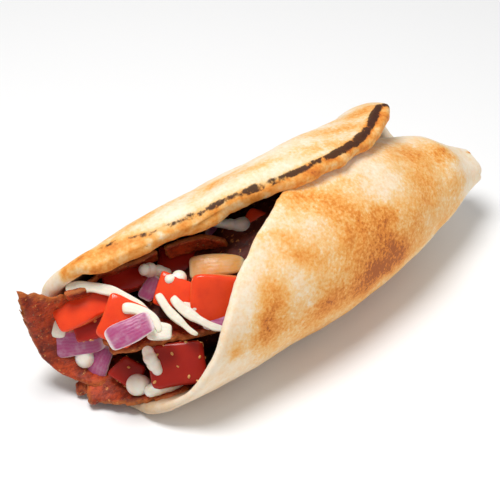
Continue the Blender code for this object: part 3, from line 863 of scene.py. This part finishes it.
def heap_mesh(rows=120, columns=110):
    """The heap of sliced meat that fills the roll, with the edges of its layers showing."""
    xs = np.linspace(HEAP[0][0], HEAP[-1][0], rows) * MM
    centre_y, centre_z, half_width, half_height = sections_at(HEAP, xs)
    turn = np.linspace(0, 2 * math.pi, columns, endpoint=False)
    verts, faces = [], []
    for i, x in enumerate(xs):
        y = centre_y[i] - half_width[i] * np.sin(turn) * 0.97
        z = centre_z[i] - half_height[i] * np.cos(turn) * 0.97
        verts.append(np.stack([np.full(columns, x), y, z], axis=-1))
    verts = np.concatenate(verts)
    middle = np.repeat(np.stack([xs, centre_y, centre_z], axis=-1), columns, axis=0)
    out = (verts - middle) / np.linalg.norm(verts - middle, axis=-1, keepdims=True)
    layers = cloud(verts * [0.35, 1.0, 1.6], 4.5 * MM, 31) + 0.4 * cloud(verts, 2.0 * MM, 32)
    verts = verts + out * ((layers * 1.2 - 0.3) * MM)[:, None]
    for i in range(rows - 1):
        for j in range(columns):
            k = (j + 1) % columns
            faces.append((i * columns + j, i * columns + k, (i + 1) * columns + k, (i + 1) * columns + j))
    faces.append(tuple(range(columns)))
    faces.append(tuple(range(len(verts) - columns, len(verts)))[::-1])
    mesh = mesh_from(verts, faces)
    paint(mesh, "crust", np.clip(0.3 + layers * 0.5, 0, 1))
    return mesh


print("meat slices:", len(MEAT))


# %% Browned meat
def meat_finish(name, dark, red, crust_colour):
    flesh = Finish(name, Subsurface_Weight=0.08, Subsurface_Scale=0.002, Specular_IOR_Level=0.3)
    crust = flesh.attribute("crust")
    fibre = flesh.noise(1.7 * MM, 5, 0.65, (0.45, 1, 1), 0.8)
    patch = flesh.noise(7 * MM, 4, 0.6)
    grit = flesh.noise(0.9 * MM, 3, 0.7)
    colour = flesh.mix(flesh.step(patch * 0.55 + fibre * 0.45, 0.38, 0.62), dark, red)
    browned = flesh.step(crust * 0.8 + (fibre - 0.5) * 0.9 + (grit - 0.5) * 0.5, 0.35, 0.85)
    colour = flesh.mix(browned * 0.75, colour, crust_colour)
    fat = flesh.step(flesh.noise(2.2 * MM, 3, 0.6), 0.62, 0.7)
    colour = flesh.mix(fat * 0.7, colour, (0.72, 0.3, 0.08))
    return flesh.use(
        Base_Color=colour,
        Roughness=0.3 + patch * 0.3 + browned * 0.12,
        Normal=flesh.relief(fibre * 0.7 + grit * 0.4 + patch * 0.4, 0.6 * MM),
    )


meat_browned = meat_finish("meat_browned", (0.15, 0.014, 0.004), (0.52, 0.06, 0.01), (0.5, 0.15, 0.03))
# The heap inside the roll takes a much darker copy of the meat finish: painted shade.
meat_shaded = meat_finish("meat_shaded", (0.04, 0.006, 0.003), (0.13, 0.018, 0.006), (0.2, 0.05, 0.015))
print("finishes:", meat_browned.name, meat_shaded.name)

# %% [markdown]
# ## Sauce
# The sauce is a thick garlic cream. It stands in round drops and runs down the food in short tongues, so each
# blob is a few spheres that share a middle, with the reach of the furthest one taken in every direction.

# %% Drops of sauce
# Name, centre in mm, and the offset and radius of each lobe in mm
SAUCE = (
    ("sauce_ball_left", (-106.5, 14.6, 15.5), ((0, 0, 0, 4.3),)),
    ("sauce_ball_low", (-97.5, -9.3, 11.5), ((0, 0, 0, 4.6), (2.6, -0.5, -1, 3.6))),
    (
        "sauce_pool_low",
        (-89.9, -17.2, 12),
        (
            (0, 0, 0, 3.2),
            (-2.6, 0.8, -0.3, 3.1),
            (-5.2, 1.6, -0.8, 2.8),
            (2.8, -1, -0.2, 3),
            (5.6, -2, -0.1, 2.6),
            (8.6, -3.1, 0.2, 1.9),
        ),
    ),
    (
        "sauce_on_block",
        (-92.5, -12.5, 25.5),
        ((0, 0, 0, 3), (0.6, -1.6, -2.8, 2.9), (1.6, -2.8, -5.4, 2.4), (0.4, 2, 2, 2.4)),
    ),
    (
        "sauce_drop_back",
        (-30.9, 4.9, 54.5),
        (
            (2, -1.4, -0.2, 3.6),
            (0, 0, 0, 2.9),
            (-2.6, 2.2, 0.4, 2.5),
            (-5.6, 4.6, 0.8, 2.3),
            (-8.6, 7, 1, 2.1),
            (-12, 9.5, 1.2, 1.7),
        ),
    ),
    (
        "sauce_centre",
        (-72.9, 12, 47),
        ((0, 0, 0, 3.2), (-3.2, -0.5, 2, 2.6), (3.6, -1.2, -1.6, 2.8), (6.6, -3, -2.6, 2.2)),
    ),
    ("sauce_drop_centre", (-67.7, -1.1, 48), ((0, 0, 0, 3.3), (-4.4, 0.8, 0.8, 2.5))),
    ("sauce_under_block", (-68.6, -13.3, 40), ((0, 0, 0, 3.4), (4, -3.4, -1.2, 3), (-3.6, 2.8, 1, 2.4))),
)


def blob_mesh(centre, lobes, rows=40, columns=64):
    """Rounded lobes run together into one drop round a shared middle."""
    tilt = np.linspace(0, math.pi, rows + 1)
    turn = np.linspace(0, 2 * math.pi, columns, endpoint=False)
    verts, faces = [], []
    for j in range(rows + 1):
        for i in range(1 if j in (0, rows) else columns):
            round_by, level = math.sin(tilt[j]), math.cos(tilt[j])
            way = Vector((round_by * math.cos(turn[i]), round_by * math.sin(turn[i]), level))
            reaches = []
            for x, y, z, radius in lobes:
                offset = Vector((x, y, z))
                ahead = offset.dot(way)
                beside = (offset - way * ahead).length
                inside = max(radius**2 - beside**2, 0.0)
                reaches.append(max(ahead + math.sqrt(inside), 0.0) if beside < radius else 0.0)
            reach = sum(r**6 for r in reaches) ** (1 / 6)
            verts.append((Vector(centre) + way * max(reach, 0.8)) * MM)

    def at(j, i):
        if j in (0, rows):
            return 0 if j == 0 else len(verts) - 1
        return 1 + (j - 1) * columns + i % columns

    for j in range(rows):
        for i in range(columns):
            quad = [at(j, i), at(j + 1, i), at(j + 1, i + 1), at(j, i + 1)]
            faces.append(list(dict.fromkeys(quad)))
    mesh = mesh_from(verts, faces)
    smooth_pass(mesh, 4)
    return mesh


def smooth_pass(mesh, times):
    bm = bmesh.new()
    bm.from_mesh(mesh)
    for _ in range(times):
        axes = {"use_axis_x": True, "use_axis_y": True, "use_axis_z": True}
        bmesh.ops.smooth_vert(bm, verts=bm.verts, factor=0.5, **axes)
    bm.to_mesh(mesh)
    bm.free()


def sauce_finish():
    cream = Finish("garlic_sauce", Subsurface_Weight=0.35, Subsurface_Scale=0.003, IOR=1.42)
    cream.shader.inputs["Coat Weight"].default_value = 0.35
    cream.shader.inputs["Coat Roughness"].default_value = 0.12
    cloudy = cream.noise(4 * MM, 3, 0.5)
    colour = cream.mix(cream.step(cloudy, 0.3, 0.75), (0.93, 0.88, 0.79), (0.89, 0.78, 0.62))
    return cream.use(Base_Color=colour, Roughness=0.24 + cloudy * 0.14, Normal=cream.relief(cloudy, 0.3 * MM))


garlic_sauce = sauce_finish()
print("sauce drops:", len(SAUCE))

# %% [markdown]
# ## Dress the frame
# Each piece takes the place of the CAD node with its name and rides on the one rigid body. Every piece of the
# wrap goes through the same three calls.


# %% Put every piece in its place
def dress(node, mesh, finish):
    """A piece that replaces its CAD node."""
    piece = bpy.data.objects.new("look_" + node, mesh)
    bpy.context.scene.collection.objects.link(piece)
    mesh.materials.append(finish)
    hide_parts(node)
    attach(piece, "root")
    return piece


# The tomato pieces that take the darker finish, as painted shade.
SHADED_TOMATO = (
    "tomato_low_front",
    "tomato_back_dark",
    "tomato_far_dark",
    "tomato_flesh_left",
    "tomato_seed_low",
)
looks = {"flatbread": dress("flatbread", bread, toasted_dough)}
for row in TOMATO:
    finish = tomato_shaded if row[0] in SHADED_TOMATO else tomato_bright
    looks[row[0]] = dress(row[0], chunk_mesh(row, (26, 22, 16), 8, 0.3), finish)
for row in ONION:
    finish = onion_white if "white" in row[0] else onion_purple
    finish = pepper_yellow if "pepper" in row[0] else finish
    looks[row[0]] = dress(row[0], chunk_mesh(row, (30, 16, 10), 5, 0.2), finish)
for row in RIBBONS:
    looks[row[0]] = dress(row[0], chunk_mesh(row, (44, 10, 10), 4, 0.25, sideways=True), onion_white)
for row in CRUMBS:
    mesh = chunk_mesh(row, (18, 14, 12), 4, 0.5, grain=0.7)
    paint(mesh, "crust", np.full(len(mesh.vertices), 0.6))
    looks[row[0]] = dress(row[0], mesh, meat_browned)
for name, thickness, rows in MEAT:
    looks[name] = dress(name, slice_mesh(name, thickness, rows), meat_browned)
for name, centre, lobes in SAUCE:
    looks[name] = dress(name, blob_mesh(centre, lobes), garlic_sauce)
looks["sliced_meat_heap"] = dress("sliced_meat_heap", heap_mesh(), meat_shaded)
print("pieces dressed:", len(looks))

# %% [markdown]
# ## Small things that repeat
# Tomato seeds cling to the cut flesh, and coarse spice sticks to the meat. There are too many to place by
# hand, so a Geometry Nodes tree scatters them: it throws points on a surface, puts one small grain on each,
# turns it along the surface, and makes real mesh of the result.


# %% Scatter grains with Geometry Nodes
def scatter_tree(name, finish):
    """A tree that covers a surface with small flattened grains."""
    tree = bpy.data.node_groups.new(name, "GeometryNodeTree")
    tree.is_modifier = True
    face = tree.interface
    face.new_socket("Geometry", in_out="OUTPUT", socket_type="NodeSocketGeometry")
    face.new_socket("Geometry", in_out="INPUT", socket_type="NodeSocketGeometry")
    for label in ("Density", "Radius", "Length", "Spread"):
        face.new_socket(label, in_out="INPUT", socket_type="NodeSocketFloat")
    face.new_socket("Seed", in_out="INPUT", socket_type="NodeSocketInt")

    def add(kind, **settings):
        node = tree.nodes.new(kind)
        for key, value in settings.items():
            setattr(node, key, value)
        return node

    def join(out_node, out_key, in_node, in_key):
        tree.links.new(out_node.outputs[out_key], in_node.inputs[in_key])

    source, sink = add("NodeGroupInput"), add("NodeGroupOutput")
    points = add("GeometryNodeDistributePointsOnFaces")
    grain = add("GeometryNodeMeshUVSphere")
    grain.inputs["Segments"].default_value = 7
    grain.inputs["Rings"].default_value = 5
    shape = add("ShaderNodeCombineXYZ")
    stretched = add("GeometryNodeTransform")
    placed = add("GeometryNodeInstanceOnPoints")
    turn = add("FunctionNodeRandomValue", data_type="FLOAT_VECTOR")
    turn.inputs["Max"].default_value = (0.5, 0.5, 6.28)
    local = add("FunctionNodeRotateEuler", rotation_type="EULER", space="LOCAL")
    scale = add("FunctionNodeRandomValue", data_type="FLOAT")
    scale.inputs["Max"].default_value = 1.0
    solid = add("GeometryNodeRealizeInstances")
    coat = add("GeometryNodeSetMaterial")
    coat.inputs["Material"].default_value = finish
    join(source, "Geometry", points, "Mesh")
    join(source, "Density", points, "Density")
    join(source, "Seed", points, "Seed")
    join(source, "Radius", grain, "Radius")
    shape.inputs[1].default_value = 1.0
    shape.inputs[2].default_value = 0.45
    join(source, "Length", shape, 0)
    join(grain, "Mesh", stretched, "Geometry")
    join(shape, 0, stretched, "Scale")
    join(points, "Points", placed, "Points")
    join(stretched, "Geometry", placed, "Instance")
    join(points, "Rotation", local, 0)
    join(turn, 0, local, 1)
    join(local, 0, placed, "Rotation")
    join(source, "Spread", scale, 2)
    join(scale, 1, placed, "Scale")
    join(placed, "Instances", solid, "Geometry")
    join(solid, "Geometry", coat, "Geometry")
    join(coat, "Geometry", sink, "Geometry")
    return tree


def scatter(name, tree, surface, slot, **values):
    """Runs the tree on a copy of a surface and keeps the grains as a plain mesh."""
    carrier = bpy.data.objects.new(name, surface.copy())
    bpy.context.scene.collection.objects.link(carrier)
    modifier = carrier.modifiers.new("scatter", "NODES")
    modifier.node_group = tree
    keys = {item.name: item.identifier for item in tree.interface.items_tree if item.in_out == "INPUT"}
    for label, value in values.items():
        modifier[keys[label]] = value
    graph = bpy.context.evaluated_depsgraph_get()
    grains = bpy.data.meshes.new_from_object(carrier.evaluated_get(graph))
    bpy.data.objects.remove(carrier)
    grains.shade_smooth()
    piece = bpy.data.objects.new(name, grains)
    bpy.context.scene.collection.objects.link(piece)
    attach(piece, "root")


def seed_finish():
    husk = Finish("tomato_seed", Subsurface_Weight=0.3, Subsurface_Scale=0.001)
    tint = husk.noise(2 * MM, 2)
    colour = husk.mix(tint, (0.86, 0.5, 0.16), (0.8, 0.3, 0.08))
    return husk.use(Base_Color=colour, Roughness=0.25 + tint * 0.1)


def spice_finish():
    grit = Finish("coarse_spice")
    tint = grit.noise(1.5 * MM, 2)
    colour = grit.mix(tint, (0.09, 0.03, 0.015), (0.42, 0.16, 0.05))
    return grit.use(Base_Color=colour, Roughness=0.45 + tint * 0.2)


seed_tree = scatter_tree("seeds", seed_finish())
spice_tree = scatter_tree("spice", spice_finish())
SEEDED_TOMATO = ("tomato_low_front", "tomato_seed_low", "tomato_flesh_left")
for number, node in enumerate(SEEDED_TOMATO):
    values = {"Density": 26000.0, "Radius": 0.0007, "Length": 1.7, "Spread": 0.6, "Seed": 4 + number}
    scatter("seeds_on_" + node, seed_tree, looks[node].data, node, **values)
for number, (name, _, _) in enumerate(MEAT):
    values = {"Density": 30000.0, "Radius": 0.0004, "Length": 1.3, "Spread": 0.4, "Seed": 40 + number}
    scatter("spice_on_" + name, spice_tree, looks[name].data, name, **values)
print("scattered pieces:", len(SEEDED_TOMATO) + len(MEAT))

# %% [markdown]
# ## Floor, light and camera
# The wrap was shot on plain white under broad soft light. A pale floor, a bright even sky, a large key light
# overhead and a weaker one from the near side give the same open shade. The camera stands at the mouth's side
# and looks down, with a long lens, as in the photograph.


# %% Floor and light
FLOOR_HALF = 4
SKY_STRENGTH = 0.36


def pale_floor():
    plane = bpy.data.meshes.new("floor")
    corners = [(x * FLOOR_HALF, y * FLOOR_HALF, 0) for x, y in ((-1, -1), (1, -1), (1, 1), (-1, 1))]
    plane.from_pydata(corners, [], [(0, 1, 2, 3)])
    floor = bpy.data.objects.new("floor", plane)
    bpy.context.scene.collection.objects.link(floor)
    surface = Finish("pale_floor", Base_Color=(0.9, 0.9, 0.9, 1.0), Roughness=0.9)
    plane.materials.append(surface.material)


def soft_light(name, place, size, power):
    lamp = bpy.data.lights.new(name, "AREA")
    lamp.shape = "DISK"
    lamp.size = size
    lamp.energy = power
    holder = bpy.data.objects.new(name, lamp)
    holder.location = place
    holder.rotation_euler = (Vector((0, 0, 0.03)) - Vector(place)).to_track_quat("-Z", "Y").to_euler()
    bpy.context.scene.collection.objects.link(holder)


pale_floor()
soft_light("key", (-0.2, 0.05, 0.85), 0.4, 6.3)
soft_light("fill", (0.3, -0.7, 0.45), 0.7, 1.5)
sky = bpy.data.worlds.new("sky")
sky.use_nodes = True
sky.node_tree.nodes["Background"].inputs["Color"].default_value = (1, 1, 1, 1)
sky.node_tree.nodes["Background"].inputs["Strength"].default_value = SKY_STRENGTH
bpy.context.scene.world = sky
bpy.context.scene.view_settings.view_transform = "Standard"
print("lights:", 2)

# %% Camera
AZIMUTH, ELEVATION, DISTANCE = math.radians(-40.0), math.radians(37.0), 0.8
TARGET = Vector((-0.020, 0.010, 0.033))
lens = bpy.data.cameras.new("camera")
lens.lens = 132.0
lens.clip_start = 0.01
camera = bpy.data.objects.new("camera", lens)
flat = math.cos(ELEVATION)
away = Vector((math.sin(AZIMUTH) * flat, -math.cos(AZIMUTH) * flat, math.sin(ELEVATION)))
camera.location = TARGET + away * DISTANCE
camera.rotation_euler = away.to_track_quat("Z", "Y").to_euler()
bpy.context.scene.collection.objects.link(camera)
bpy.context.scene.camera = camera
print("camera stands", DISTANCE, "m away")
